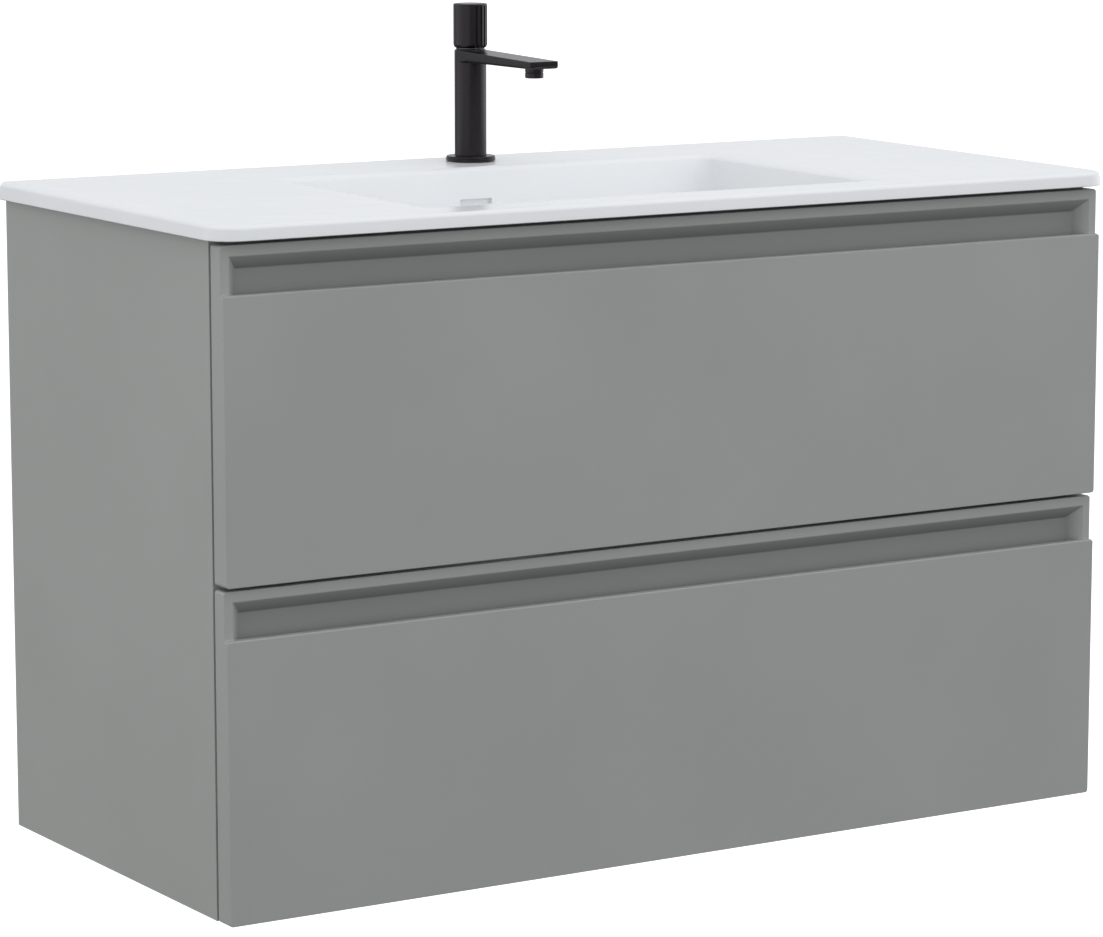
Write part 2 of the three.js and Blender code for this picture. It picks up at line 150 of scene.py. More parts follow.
def growRing(bm, ring):
    members = set(ring)
    edges = [e for e in bm.edges if e.verts[0] in members and e.verts[1] in members]
    made = bmesh.ops.extrude_edge_only(bm, edges=edges)["geom"]
    return [v for v in made if isinstance(v, bmesh.types.BMVert)]


def outlineSolid(bm, points, axis, start, end):
    # a closed outline pushed along X (points y, z), Y (points x, z) or Z (points x, y)
    def place(a, b, c):
        return {"x": (c, a, b), "y": (a, c, b), "z": (a, b, c)}[axis]
    face = bm.faces.new([bm.verts.new(place(a, b, start)) for a, b in points])
    made = bmesh.ops.extrude_face_region(bm, geom=[face], use_keep_orig=True)["geom"]
    verts = [v for v in made if isinstance(v, bmesh.types.BMVert)]
    bmesh.ops.translate(bm, vec=place(0, 0, end - start), verts=verts)
    bmesh.ops.recalc_face_normals(bm, faces=bm.faces[:])


def newObject(name, bm):
    bmesh.ops.recalc_face_normals(bm, faces=bm.faces[:])
    mesh = bpy.data.meshes.new(name)
    bm.to_mesh(mesh)
    bm.free()
    made = bpy.data.objects.new(name, mesh)
    bpy.context.scene.collection.objects.link(made)
    return made


def finishPiece(piece, material, body, nodes=(), smooth=40):
    mesh = piece.data
    mesh.materials.clear()
    mesh.materials.append(material)
    mesh.polygons.foreach_set("use_smooth", [True] * len(mesh.polygons))
    mesh.set_sharp_from_angle(angle=math.radians(smooth))
    normals = piece.modifiers.new("faceNormals", "WEIGHTED_NORMAL")
    normals.keep_sharp = True
    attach(piece, body)
    if nodes:
        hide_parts(*nodes)


def keepPiece(name, bm, material, body, nodes=(), smooth=40):
    finishPiece(newObject(name, bm), material, body, nodes, smooth)


def combine(piece, steps):
    # boolean steps applied to the mesh, in order; the tools are then removed
    for operation, tool in steps:
        step = piece.modifiers.new(operation, "BOOLEAN")
        step.operation = operation
        step.solver = "EXACT"
        step.object = tool
    graph = bpy.context.evaluated_depsgraph_get()
    mesh = bpy.data.meshes.new_from_object(piece.evaluated_get(graph))
    piece.modifiers.clear()
    piece.data = mesh
    for _, tool in steps:
        bpy.data.objects.remove(tool)


# Materials: pattern sizes in millimetres, colours in sRGB hex

def linear(hexColour):
    # sRGB hex to scene linear
    def channel(part):
        value = int(part, 16) / 255
        return value / 12.92 if value <= 0.04045 else ((value + 0.055) / 1.055) ** 2.4
    text = hexColour.lstrip("#")
    return tuple(channel(text[i:i + 2]) for i in (0, 2, 4)) + (1.0,)


def addNode(tree, kind, settings=None, links=None, stops=None):
    # settings are sockets (by name or number) or properties; stops fill a colour ramp
    node = tree.nodes.new(kind)
    for key, value in (settings or {}).items():
        if isinstance(key, int) or key in node.inputs:
            node.inputs[key].default_value = value
        else:
            setattr(node, key, value)
    for socket, source in (links or {}).items():
        tree.links.new(source, node.inputs[socket])
    if stops:
        points = node.color_ramp.elements
        while len(points) < len(stops):
            points.new(0.5)
        for point, (position, colour) in zip(points, stops):
            point.position, point.color = position, colour
    return node


def startMaterial(name):
    material = bpy.data.materials.new(name)
    material.use_nodes = True
    tree = material.node_tree
    shader = tree.nodes["Principled BSDF"]
    place = addNode(tree, "ShaderNodeTexCoord").outputs["Object"]
    return material, tree, shader, place


def perMetre(sizeMm):
    # noise scale for features of a real size
    return 1 / (sizeMm * mm)


def wireShader(tree, shader, look, colour, rough, height):
    # a colour, a 0 to 1 pattern spread over the roughness range, and a pattern raised as bump
    lowest, highest = look["roughness"]
    strength, depth = look["bump"]
    spread = addNode(tree, "ShaderNodeMapRange", {"To Min": lowest, "To Max": highest}, {"Value": rough})
    raised = addNode(tree, "ShaderNodeBump", {"Strength": strength, "Distance": depth * mm},
                     {"Height": height})
    for socket, source in (("Base Color", colour), ("Roughness", spread.outputs["Result"]),
                           ("Normal", raised.outputs["Normal"])):
        tree.links.new(source, shader.inputs[socket])
    for socket, value in look.get("shader", {}).items():
        shader.inputs[socket].default_value = value


lacquerLook = {
    "cloud": 180, "grain": 1.1, "peel": 2.2, "fleck": 0.05, "roughness": (0.40, 0.52), "bump": (0.06, 0.4),
    "front": [(0.3, linear("#a1a3a0")), (0.5, linear("#a3a5a2")), (0.7, linear("#a5a7a4"))],
    "panel": [(0.3, linear("#a1a39f")), (0.5, linear("#a3a5a1")), (0.7, linear("#a5a7a3"))],
    # the pocket tint is painted shade, multiplied into the colour inside the finger pocket
    "paintedPocketShade": linear("#d4d4d4"), "shader": {"IOR": 1.5},
}
# where the painted pocket shade begins, reaches full depth and fades out, in millimetres
pocketShadeSizes = {"shadeFrom": 8, "shadeTo": 18, "end": 21, "edge": 10, "fade": 1}


def paintPocketShade(tree, place, colour, corner):
    # painted shade: darker with the depth behind the face, inside the pocket only
    s = scaled(pocketShadeSizes)
    face, half = corner.y, -corner.x - s["edge"]
    where = addNode(tree, "ShaderNodeSeparateXYZ", links={"Vector": place})
    across = addNode(tree, "ShaderNodeMath", {"operation": "ABSOLUTE"}, {0: where.outputs["X"]})
    deep, beforeBack, betweenEnds = (
        addNode(tree, "ShaderNodeMapRange", {"From Min": start, "From Max": end},
                {"Value": source}).outputs["Result"]
        for start, end, source in (
            (face + s["shadeFrom"], face + s["shadeTo"], where.outputs["Y"]),
            (face + s["end"], face + s["end"] - s["fade"], where.outputs["Y"]),
            (half + s["fade"], half, across.outputs["Value"])))
    within = addNode(tree, "ShaderNodeMath", {"operation": "MULTIPLY"}, {0: deep, 1: beforeBack})
    inside = addNode(tree, "ShaderNodeMath", {"operation": "MULTIPLY"},
                     {0: within.outputs["Value"], 1: betweenEnds})
    stretchOrPocketShade = addNode(tree, "ShaderNodeMix",
                   {"data_type": "RGBA", "blend_type": "MULTIPLY", 7: lacquerLook["paintedPocketShade"]},
                   {"Factor": inside.outputs["Value"], 6: colour})
    return stretchOrPocketShade.outputs[2]


def satinLacquer(name, tones, pocketCorner=None):
    # Sprayed two-pack lacquer on fibreboard: even satin grey, a faint cloud in the tone and
    # orange peel about 2 mm across that softens reflections. Inside the milled pocket the colour
    # is darkened with painted shade, deeper behind the face.
    look = lacquerLook
    material, tree, shader, place = startMaterial(name)
    cloud, grain, peel = (
        addNode(tree, "ShaderNodeTexNoise", {"Scale": perMetre(look[size]), "Detail": detail},
                {"Vector": place}).outputs["Fac"]
        for size, detail in (("cloud", 3.0), ("grain", 2.0), ("peel", 1.0)))
    tone = addNode(tree, "ShaderNodeValToRGB", links={"Fac": cloud}, stops=tones)
    fleck = addNode(tree, "ShaderNodeMix",
                    {"data_type": "RGBA", "blend_type": "MULTIPLY", "Factor": look["fleck"]},
                    {6: tone.outputs["Color"], 7: grain.node.outputs["Color"]})
    colour = fleck.outputs[2]
    # painted shade darkens the colour inside the finger pocket
    if pocketCorner:
        colour = paintPocketShade(tree, place, colour, pocketCorner)
    wireShader(tree, shader, look, colour, grain, peel)
    return material


boardLook = {
    "thread": 0.8, "stretch": 0.06, "threadRange": (0.7, 1.3), "blotch": 60,
    "tones": [(0.35, linear("#9d9c98")), (0.65, linear("#a3a29e"))],
    "threadTones": [(0.0, linear("#e7e7e6")), (1.0, linear("#ffffff"))],
    "roughness": (0.62, 0.48), "bump": (0.25, 0.3),
}


def melamine(name):
    # Melamine-faced board pressed with a textile plate: crossing threads about 0.8 mm wide and
    # 14 mm long that lift and tint the surface, on a tone that clouds a little every 60 mm.
    look = boardLook
    material, tree, shader, place = startMaterial(name)
    stretchOrPocketShade = look["stretch"]
    threads = []
    for scale in ((1.0, stretchOrPocketShade, 1.0), (stretchOrPocketShade, 1.0, stretchOrPocketShade)):
        turned = addNode(tree, "ShaderNodeMapping", {"Scale": scale}, {"Vector": place})
        threads.append(addNode(tree, "ShaderNodeTexNoise", {"Scale": perMetre(look["thread"]), "Detail": 2.0},
                               {"Vector": turned.outputs["Vector"]}).outputs["Fac"])
    crossed = addNode(tree, "ShaderNodeMath", {"operation": "ADD"}, {0: threads[0], 1: threads[1]})
    lowest, highest = look["threadRange"]
    weave = addNode(tree, "ShaderNodeMapRange", {"From Min": lowest, "From Max": highest},
                    {"Value": crossed.outputs["Value"]}).outputs["Result"]
    blotch = addNode(tree, "ShaderNodeTexNoise", {"Scale": perMetre(look["blotch"]), "Detail": 4.0},
                     {"Vector": place})
    ground = addNode(tree, "ShaderNodeValToRGB", links={"Fac": blotch.outputs["Fac"]}, stops=look["tones"])
    tint = addNode(tree, "ShaderNodeValToRGB", links={"Fac": weave}, stops=look["threadTones"])
    tone = addNode(tree, "ShaderNodeMix", {"data_type": "RGBA", "blend_type": "MULTIPLY", "Factor": 1.0},
                   {6: ground.outputs["Color"], 7: tint.outputs["Color"]})
    wireShader(tree, shader, look, tone.outputs[2], weave, weave)
    return material


chinaLook = {
    "pool": 120, "wave": 40, "tones": [(0.3, linear("#f0f2f3")), (0.7, linear("#f3f4f5"))],
    "roughness": (0.20, 0.27), "bump": (0.02, 1.0), "shader": {"IOR": 1.5, "Specular IOR Level": 0.35},
}


def glazedChina(name):
    # Glazed vitreous china: cool white under a clear fired glaze, smooth, with a slow waviness
    # about 40 mm long from the casting that softens what it mirrors.
    look = chinaLook
    material, tree, shader, place = startMaterial(name)
    pool, wave = (
        addNode(tree, "ShaderNodeTexNoise", {"Scale": perMetre(look[size]), "Detail": detail},
                {"Vector": place}).outputs["Fac"]
        for size, detail in (("pool", 2.0), ("wave", 1.0)))
    tone = addNode(tree, "ShaderNodeValToRGB", links={"Fac": pool}, stops=look["tones"])
    wireShader(tree, shader, look, tone.outputs["Color"], wave, wave)
    return material


coatLook = {
    "grain": 0.5, "tones": [(0.3, linear("#060506")), (0.7, linear("#0b0a0c"))],
    "roughness": (0.24, 0.32), "bump": (0.08, 0.2),
    "shader": {"IOR": 1.48, "Specular IOR Level": 0.40, "Specular Tint": linear("#fff3fb")},
}


def powderCoat(name):
    # Matt black powder coat on cast brass: near black, soft sheen, grain about 0.5 mm.
    look = coatLook
    material, tree, shader, place = startMaterial(name)
    grain = addNode(tree, "ShaderNodeTexNoise", {"Scale": perMetre(look["grain"]), "Detail": 2.0},
                    {"Vector": place}).outputs["Fac"]
    tone = addNode(tree, "ShaderNodeValToRGB", links={"Fac": grain}, stops=look["tones"])
    wireShader(tree, shader, look, tone.outputs["Color"], grain, grain)
    return material


zincLook = {
    "spangle": 4, "streak": 1.2, "stretch": 0.05,
    "tones": [(0.0, linear("#a9adb1")), (1.0, linear("#c2c5c8"))],
    "roughness": (0.26, 0.42), "bump": (0.05, 0.2), "shader": {"Metallic": 1.0},
}


def zincSteel(name):
    # Zinc-plated rolled sheet: pale grey metal, spangle about 4 mm and faint rolling streaks along y.
    look = zincLook
    material, tree, shader, place = startMaterial(name)
    spangle = addNode(tree, "ShaderNodeTexVoronoi", {"Scale": perMetre(look["spangle"])}, {"Vector": place})
    rolled = addNode(tree, "ShaderNodeMapping", {"Scale": (1.0, look["stretch"], 1.0)}, {"Vector": place})
    streak = addNode(tree, "ShaderNodeTexNoise", {"Scale": perMetre(look["streak"])},
                     {"Vector": rolled.outputs["Vector"]}).outputs["Fac"]
    tone = addNode(tree, "ShaderNodeValToRGB", links={"Fac": spangle.outputs["Color"]}, stops=look["tones"])
    wireShader(tree, shader, look, tone.outputs["Color"], streak, streak)
    return material


chromeLook = {
    "haze": 15, "tones": [(0.3, linear("#d2d4d7")), (0.7, linear("#dfe1e3"))],
    "roughness": (0.05, 0.13), "bump": (0.01, 0.1), "shader": {"Metallic": 1.0},
}


def polishedChrome(name):
    # Polished chrome plate: mirror with a trace of wiping haze.
    look = chromeLook
    material, tree, shader, place = startMaterial(name)
    haze = addNode(tree, "ShaderNodeTexNoise", {"Scale": perMetre(look["haze"]), "Detail": 3.0},
                   {"Vector": place}).outputs["Fac"]
    tone = addNode(tree, "ShaderNodeValToRGB", links={"Fac": haze}, stops=look["tones"])
    wireShader(tree, shader, look, tone.outputs["Color"], haze, haze)
    return material


plasticLook = {
    "pipe": {"grain": 0.8, "cloud": 30, "tones": [(0.3, linear("#e6e6e1")), (0.7, linear("#eeeeea"))],
             "roughness": (0.29, 0.43), "bump": (0.08, 0.2)},
    "rubber": {"grain": 0.8, "cloud": 30, "tones": [(0.3, linear("#1d1d1d")), (0.7, linear("#232323"))],
               "roughness": (0.69, 0.83), "bump": (0.08, 0.2)},
}


def mouldedPlastic(name, kind):
    # Injection-moulded polypropylene is waxy and even, moulded rubber is dull; both carry the
    # tool's fine grain, about 0.8 mm.
    look = plasticLook[kind]
    material, tree, shader, place = startMaterial(name)
    grain, cloud = (
        addNode(tree, "ShaderNodeTexNoise", {"Scale": perMetre(look[size]), "Detail": 2.0},
                {"Vector": place}).outputs["Fac"]
        for size in ("grain", "cloud"))
    tone = addNode(tree, "ShaderNodeValToRGB", links={"Fac": cloud}, stops=look["tones"])
    wireShader(tree, shader, look, tone.outputs["Color"], grain, grain)
    return material


# the fronts' lacquer carries painted shade inside the finger pocket
frontLacquer = satinLacquer("satinLacquerOnMilledFibreboard", lacquerLook["front"],
                            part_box("upper_drawer_front")[0])
panelLacquer = satinLacquer("satinLacquerOnPanel", lacquerLook["panel"])
linerBoard = melamine("textileMelamineBoard")
china = glazedChina("glazedVitreousChina")
blackCoat = powderCoat("mattBlackPowderCoatOnBrass")
zinc = zincSteel("zincPlatedRolledSteel")
chrome = polishedChrome("polishedChromePlate")
pipePlastic = mouldedPlastic("mouldedWhitePolypropylene", "pipe")
rubber = mouldedPlastic("mouldedBlackRubber", "rubber")
print("materials ready")


# Drawer fronts

frontSizes = {
    "setBack": 6, "drop": 45, "frame": 9, "topStrip": 10.2, "slope": 12.5,
    "pocketBack": 19, "lip": 9, "groove": 13, "corner": 3, "ease": 0.9, "lipChamfer": 1.2,
}
near = 1e-5  # two places closer than this are the same, in metres


def drawerFront(word):
    # one milled board: proud face with a lip, set-back frame, sloped finger pocket, groove behind the lip
    s = scaled(frontSizes)
    node = f"{word}_drawer_front"
    low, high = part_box(node)
    lipTop = high.z - s["drop"]
    bm = bmesh.new()
    addBox(bm, (low.x, low.y + s["setBack"], low.z), high)
    bmesh.ops.bisect_plane(bm, geom=everything(bm), plane_co=(0, 0, lipTop), plane_no=(0, 0, 1))
    pushFaces(bm, facing(bm, (0, -1, 0), lambda c: c.z < lipTop), (0, -s["setBack"], 0))
    side = high.x - s["frame"]
    stripBottom = high.z - s["topStrip"]
    cuts = ((-side, 0, 0), (1, 0, 0)), ((side, 0, 0), (1, 0, 0)), ((0, 0, stripBottom), (0, 0, 1))
    for point, normal in cuts:
        splitFaces(bm, facing(bm, (0, -1, 0), lambda c: c.z > lipTop), point, normal)
    mouth = facing(bm, (0, -1, 0), lambda c: lipTop < c.z < stripBottom and abs(c.x) < side)
    for v in pushFaces(bm, mouth, (0, s["pocketBack"] - s["setBack"], 0)):
        v.co.x -= math.copysign(s["slope"], v.co.x)
        if v.co.z > lipTop + mm:
            v.co.z -= s["slope"]
    bmesh.ops.recalc_face_normals(bm, faces=bm.faces[:])
    pocketFloor = facing(bm, (0, 0, 1), lambda c: abs(c.z - lipTop) < near and c.y > low.y + s["setBack"])
    splitFaces(bm, pocketFloor, (0, low.y + s["lip"], 0), (0, 1, 0))
    rear = facing(bm, (0, 0, 1), lambda c: abs(c.z - lipTop) < near and c.y > low.y + s["lip"])
    pushFaces(bm, rear, (0, 0, -s["groove"]))
    bmesh.ops.dissolve_limit(bm, angle_limit=math.radians(1), verts=bm.verts[:], edges=bm.edges[:])

    def outerCorner(e):
        a, b = (v.co for v in e.verts)
        alongDepth = abs(a.x - b.x) < near and abs(a.z - b.z) < near
        return alongDepth and abs(abs(a.x) - high.x) < near

    def onLip(e):
        reach = 1.5 * s["lipChamfer"]
        return all(v.co.y < low.y + reach and abs(v.co.z - lipTop) < reach for v in e.verts)

    easeEdges(bm, [e for e in bm.edges if outerCorner(e)], s["corner"], 4)
    easeEdges(bm, [e for e in bm.edges if onLip(e)], s["lipChamfer"], 1)
    easeEdges(bm, [e for e in sharpEdges(bm) if not onLip(e)], s["ease"], 3)
    keepPiece(f"{word}DrawerFront", bm, frontLacquer, f"{word}_drawer", [node])


drawerFront("upper")
drawerFront("lower")
print("drawer fronts ready")


# Boards

boardSizes = {"ease": 0.7, "hookNotch": 36, "hookNotchHeight": 30, "strip": 2.5, "stripEase": 0.6}


def board(name, node, body, material=linerBoard):
    bm = bmesh.new()
    addBox(bm, *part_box(node))
    easeEdges(bm, bm.edges[:], boardSizes["ease"] * mm, 2)
    keepPiece(name, bm, material, body, [node])


for side in ("left", "right"):
    board(f"{side}SidePanel", f"{side}_side_panel", "root", panelLacquer)
    for word in ("upper", "lower"):
        board(f"{word}Drawer{side.title()}Wall", f"{word}_drawer_{side}_wall", f"{word}_drawer")
    board(f"trapCutout{side.title()}Wall", f"trap_cutout_{side}_wall", "upper_drawer")
    board(f"upperDrawerBack{side.title()}", f"upper_drawer_back_{side}", "upper_drawer")
board("bottomPanel", "bottom_panel", "root", panelLacquer)
board("lowerRearRail", "lower_rear_rail", "root")
board("trapCutoutFrontWall", "trap_cutout_front_wall", "upper_drawer")
board("lowerDrawerBottom", "lower_drawer_bottom", "lower_drawer")
board("lowerDrawerBack", "lower_drawer_back", "lower_drawer")


def shapedBoard(name, node, points, axis, body, ease="ease", material=linerBoard):
    low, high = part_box(node)
    bm = bmesh.new()
    outlineSolid(bm, points, axis, getattr(low, axis), getattr(high, axis))
    easeEdges(bm, sharpEdges(bm), boardSizes[ease] * mm, 2)
    keepPiece(name, bm, material, body, [node])


def upperDrawerFloor():
    # U-shaped, open at the back for the trap
    low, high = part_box("upper_drawer_bottom")
    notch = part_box("trap_cutout_right_wall")[0]
    shapedBoard("upperDrawerFloor", "upper_drawer_bottom", [
        (low.x, low.y), (high.x, low.y), (high.x, high.y), (notch.x, high.y),
        (notch.x, notch.y), (-notch.x, notch.y), (-notch.x, high.y), (low.x, high.y)], "z", "upper_drawer")


def hangingRail():
    # notched at both top corners for the hooks
    low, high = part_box("top_rear_rail")
    side, foot = high.x - boardSizes["hookNotch"] * mm, low.z + boardSizes["hookNotchHeight"] * mm
    shapedBoard("hangingRail", "top_rear_rail", [
        (low.x, low.z), (high.x, low.z), (high.x, foot), (side, foot), (side, high.z),
        (-side, high.z), (-side, foot), (low.x, foot)], "y", "root")


def topFrontRail():
    # steel strip with both ends folded back along the side panels
    low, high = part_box("top_front_rail")
    sheet = boardSizes["strip"] * mm
    shapedBoard("topFrontRail", "top_front_rail", [
        (low.x, low.y), (high.x, low.y), (high.x, high.y), (high.x - sheet, high.y),
        (high.x - sheet, low.y + sheet), (low.x + sheet, low.y + sheet),
        (low.x + sheet, high.y), (low.x, high.y)], "z", "root", "stripEase", zinc)


upperDrawerFloor()
hangingRail()
topFrontRail()
print("boards ready")


# Basin

basinSizes = {
    "rimRound": 5.5, "rimDraft": 0.8, "rimFoot": 1.2, "fall": 4,
    "bowlHalf": 254, "bowlFront": 51, "bowlBack": 355, "bowlCorner": 16,
    "lipRound": 6, "endLip": 3, "wallDraft": 6, "floorRound": 34, "floorRise": 3,
    "wall": 12, "ceiling": 10.5, "rimSide": 25, "rimFront": 47, "rimBack": 24, "seat": 0.4,
    "frontCorner": 28, "backCorner": 7, "leastFront": 1, "leastBack": 0.8, "leastBowl": 5, "hollowCorner": 4,
    "endLipReach": 7, "drainHole": 23.2, "flangeSeat": 2.8, "sump": 44, "sumpRise": 0.8, "recess": 33.5,
    "boss": 37, "tapHole": 17.5, "tapHoleDepth": 50, "slotX": -29.7, "slotHalf": 18.8, "slotHeight": 6,
    "slotZ": 22.4, "slotDepth": 5, "slotMouth": 10, "slotRound": 1.2,
}


def basinShell():
    s = scaled(basinSizes)
    low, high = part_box("basin")
    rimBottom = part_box("left_side_panel")[1].z + s["seat"]
    deckTop = high.z
    drainLow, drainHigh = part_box("drain_waste")
    drainX, drainY = (drainLow.x + drainHigh.x) / 2, (drainLow.y + drainHigh.y) / 2
    floorZ = drainHigh.z - s["flangeSeat"]
    bm = bmesh.new()
    ring = startRing(bm)
    started = False

    def place(*where):
        nonlocal ring, started
        if started:
            ring = growRing(bm, ring)
        started = True
        setRing(bm, ring, *where)

    def rim(inset, z):
        place((low.x + inset, low.y + inset), (high.x - inset, high.y - inset), z,
              max(s["frontCorner"] - inset, s["leastFront"]), max(s["backCorner"] - inset, s["leastBack"]))

    def bowl(grow, z):
        corner = max(s["bowlCorner"] + grow, s["leastBowl"])
        # a wider, softer lip at both ends
        spread = basinSizes["endLip"] if 0 < grow < s["endLipReach"] else 1
        side = s["bowlHalf"] + grow * spread
        place((-side, low.y + s["bowlFront"] - grow), (side, low.y + s["bowlBack"] + grow), z, corner, corner)

    def drainRing(radius, z):
        place((drainX - radius, drainY - radius), (drainX + radius, drainY + radius), z, radius, radius)

    def arc(inset, z, radius, start, end, count, make):
        # a rounded edge as a run of rings
        for i in range(count + 1):
            angle = math.radians(start + (end - start) * i / count)
            make(inset + radius * math.cos(angle), z + radius * math.sin(angle))

    foot, edge, lip, floor = s["rimFoot"], s["rimRound"], s["lipRound"], s["floorRound"]
    shell = s["wall"]
    inner = (low.x + s["rimSide"], low.y + s["rimFront"]), (high.x - s["rimSide"], high.y - s["rimBack"])
    # outside of the rim: small round below, light draft, soft round above, then the flat deck
    arc(foot, rimBottom + foot, foot, 270, 180, 3, rim)
    arc(s["rimDraft"] + edge, deckTop - edge, edge, 180, 90, 7, rim)
    # over the lip, down the drafted wall and round to the floor, which falls to the drain
    arc(lip, deckTop - lip, lip, 90, 180, 7, bowl)
    arc(-s["wallDraft"] - floor, floorZ + s["floorRise"] + floor, floor, 0, -90, 8, bowl)
    drainRing(s["sump"], floorZ + s["sumpRise"])
    drainRing(s["recess"], floorZ)
    drainRing(s["drainHole"], floorZ)
    # underside: drain boss, outside of the bowl, hollow below the deck, foot of the rim
    drainRing(s["drainHole"], low.z)
    drainRing(s["boss"], low.z)
    drainRing(s["boss"], floorZ - shell)
    arc(-s["wallDraft"] - floor, floorZ + floor, floor + shell, -90, 0, 6, bowl)
    bowl(shell, deckTop - s["ceiling"])
    for z in (deckTop - s["ceiling"], rimBottom):
        place(*inner, z, s["hollowCorner"], s["hollowCorner"])
    rim(foot, rimBottom)
    bmesh.ops.remove_doubles(bm, verts=bm.verts[:], dist=1e-6)
    # the deck falls a little towards the front edge
    for v in bm.verts:
        height = min(max((v.co.z - rimBottom) / (deckTop - rimBottom), 0), 1)
        v.co.z -= s["fall"] * height * (high.y - v.co.y) / (high.y - low.y)
    return bm


def basinPiece():
    s = scaled(basinSizes)
    low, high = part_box("basin")
    tapLow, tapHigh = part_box("tap_flange")
    piece = newObject("ceramicBasin", basinShell())
    hole = bmesh.new()
    bmesh.ops.create_cone(hole, cap_ends=True, segments=48, radius1=s["tapHole"], radius2=s["tapHole"],
                          depth=s["tapHoleDepth"])
    bmesh.ops.translate(hole, vec=((tapLow.x + tapHigh.x) / 2, (tapLow.y + tapHigh.y) / 2, high.z),
                        verts=hole.verts[:])
    slot = bmesh.new()
    wallY = low.y + s["bowlBack"] - s["wallDraft"] / 2
    addBox(slot, (s["slotX"] - s["slotHalf"], wallY - s["slotMouth"], s["slotZ"] - s["slotHeight"] / 2),
           (s["slotX"] + s["slotHalf"], wallY + s["slotDepth"], s["slotZ"] + s["slotHeight"] / 2))
    corners = [e for e in slot.edges if abs(e.verts[0].co.y - e.verts[1].co.y) > mm]
    easeEdges(slot, corners, s["slotRound"], 4)
    combine(piece, [("DIFFERENCE", newObject("tapHoleTool", hole)),
                    ("DIFFERENCE", newObject("slotTool", slot))])
    finishPiece(piece, china, "root", ["basin"], 50)


basinPiece()
print("basin ready")


# Tap

tapSizes = {
    "spoutDrop": 0.5, "spoutFall": 4, "spoutRoot": 11.4, "spoutEnd": 7.6, "spoutEase": 0.6,
    "spoutInset": 0.05, "spoutLowerEase": 2.6, "rootFillet": 1.5, "shortEdge": 2.5,
    "columnEase": 0.9, "collar": 14.6, "collarRise": 1.6,
    "groove": 1.5, "grooveInset": 0.8, "grooveTop": 2, "grooves": 7, "grooveStart": -100, "grooveStep": 19,
}


def footOf(node, axis=(0, 0, 1)):
    # middle of the node's box, moved to its lowest point along the axis
    low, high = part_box(node)
    middle, way = (low + high) / 2, Vector(axis)
    return middle + way * (low - middle).dot(way)


def spunPiece(name, profile, node, material, body, axis=(0, 0, 1), smooth=35, steps=64):
    # profile in millimetres: (radius, height above the foot)
    bm = bmesh.new()
    turnProfile(bm, [(r * mm, h * mm) for r, h in profile], footOf(node, axis), axis, steps)
    keepPiece(name, bm, material, body, [node], smooth)


def tapBodyPiece():
    s = scaled(tapSizes)
    low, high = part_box("tap_body")
    r = (high.x - low.x) / 2
    middle = Vector(((low.x + high.x) / 2, high.y - r, low.z))
    height = high.z - low.z
    column, e = bmesh.new(), s["columnEase"]
    turnProfile(column, [
        (0, 0), (r, 0), (r, height - e), (r - 0.3 * e, height - 0.3 * e), (r - e, height),
        (s["collar"], height), (s["collar"], height + s["collarRise"]), (0, height + s["collarRise"]),
    ], middle, steps=80)
    piece = newObject("tapColumnAndSpout", column)
    top = high.z - s["spoutDrop"]
    tip, under = top - s["spoutFall"], top - s["spoutRoot"]
    root, fillet = middle.y - r, s["rootFillet"]
    inside = under - 0.6 * fillet
    spout = bmesh.new()
    outlineSolid(spout, [
        (low.y, tip), (low.y, tip - s["spoutEnd"]), (root - fillet, under), (root + fillet, inside),
        (middle.y, inside), (middle.y, top)], "x", low.x + s["spoutInset"], high.x - s["spoutInset"])
    lower = [e for e in sharpEdges(spout, 45) if all(v.co.z < tip - mm for v in e.verts)]
    easeEdges(spout, lower, s["spoutLowerEase"], 4)
    others = [e for e in sharpEdges(spout, 45) if e.calc_length() > s["shortEdge"]]
    easeEdges(spout, others, s["spoutEase"], 3)
    combine(piece, [("UNION", newObject("spoutTool", spout))])
    finishPiece(piece, blackCoat, "root", ["tap_body"], 35)


def tapHandlePiece():
    s = scaled(tapSizes)
    low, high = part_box("tap_handle")
    r = (high.x - low.x) / 2
    middle = footOf("tap_handle")
    height = high.z - low.z
    grip = bmesh.new()
    turnProfile(grip, [(x * mm, z * mm) for x, z in (
        (8.4, 0), (14.9, 0), (16, 0.5), (16.8, 1.7), (17.4, 3.8), (17.4, 44), (17.2, 44.6), (16.6, 45),
        (15.6, 45), (15.3, 44.7), (0, 44.7), (0, 28), (8.4, 28), (8.4, 0))], middle, steps=96)
    piece = newObject("tapHandleGrip", grip)
    cutter = bmesh.new()
    for i in range(tapSizes["grooves"]):
        angle = math.radians(tapSizes["grooveStart"] + tapSizes["grooveStep"] * i)
        made = bmesh.ops.create_cone(cutter, cap_ends=True, segments=12, radius1=s["groove"],
                                     radius2=s["groove"], depth=height - s["grooveTop"])["verts"]
        out = (r - s["grooveInset"]) * Vector((math.cos(angle), math.sin(angle), 0))
        up = Vector((0, 0, (height - s["grooveTop"]) / 2))
        bmesh.ops.translate(cutter, verts=made, vec=middle + out + up)
    combine(piece, [("DIFFERENCE", newObject("grooveTool", cutter))])
    finishPiece(piece, blackCoat, "tap_handle", ["tap_handle"], 35)


tapBodyPiece()
tapHandlePiece()
spunPiece("tapFlange", [
    (16.5, 0), (25.2, 0), (25.6, 0.4), (25.6, 2.3), (25.3, 2.6), (24.7, 2.7), (24.7, 3.0), (25.1, 3.2),
    (25.1, 4.2), (24.8, 4.8), (24, 5), (16.5, 5), (16.5, 0)], "tap_flange", blackCoat, "root")
spunPiece("tapAerator", [
    (0, 2.2), (6.8, 2.2), (7.2, 0.3), (7.6, 0), (8.7, 0), (9.3, 0.5), (9.3, 5.2), (8.9, 5.5),
    (8.9, 6.1), (9.3, 6.4), (9.3, 9.2), (0, 9.2)], "tap_aerator", blackCoat, "root")
print("tap ready")


# Waste, plug and trap

ribSizes = {"height": 1.1, "smooth": 25}


